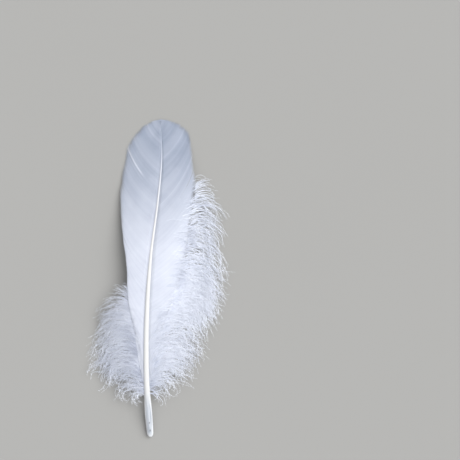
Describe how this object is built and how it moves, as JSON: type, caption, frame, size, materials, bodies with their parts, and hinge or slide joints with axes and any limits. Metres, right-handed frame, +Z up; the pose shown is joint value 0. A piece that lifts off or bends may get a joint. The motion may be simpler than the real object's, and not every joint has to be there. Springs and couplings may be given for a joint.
{
  "type": "goose quill feather",
  "caption": "White goose quill feather lying back up: bare quill and shaft, a narrow and a wide vane, loose barb ends and curled down at the foot.",
  "frame": {"origin": "middle of the feather's footprint, on the surface that it lies on", "axes": "+Y from the quill end to the vane tip, +X to the wide vane's side, +Z up, away from the surface"},
  "size_m": [0.0756, 0.18, 0.0121],
  "materials": {
    "shaft_keratin": "smooth white keratin, milky and faintly streaked in the bare quill, satin along the shaft",
    "vane_barbs": "cool white vane of fine slanting barbs with a soft silky sheen, a little greyer towards the tip",
    "down": "matt white down of fine curled filaments"
  },
  "bodies": {
    "root": {"shaft": "shaft_keratin", "left_vane": "vane_barbs", "right_vane": "vane_barbs", "left_down": "down", "right_down": "down"}
  },
  "joints": []
}
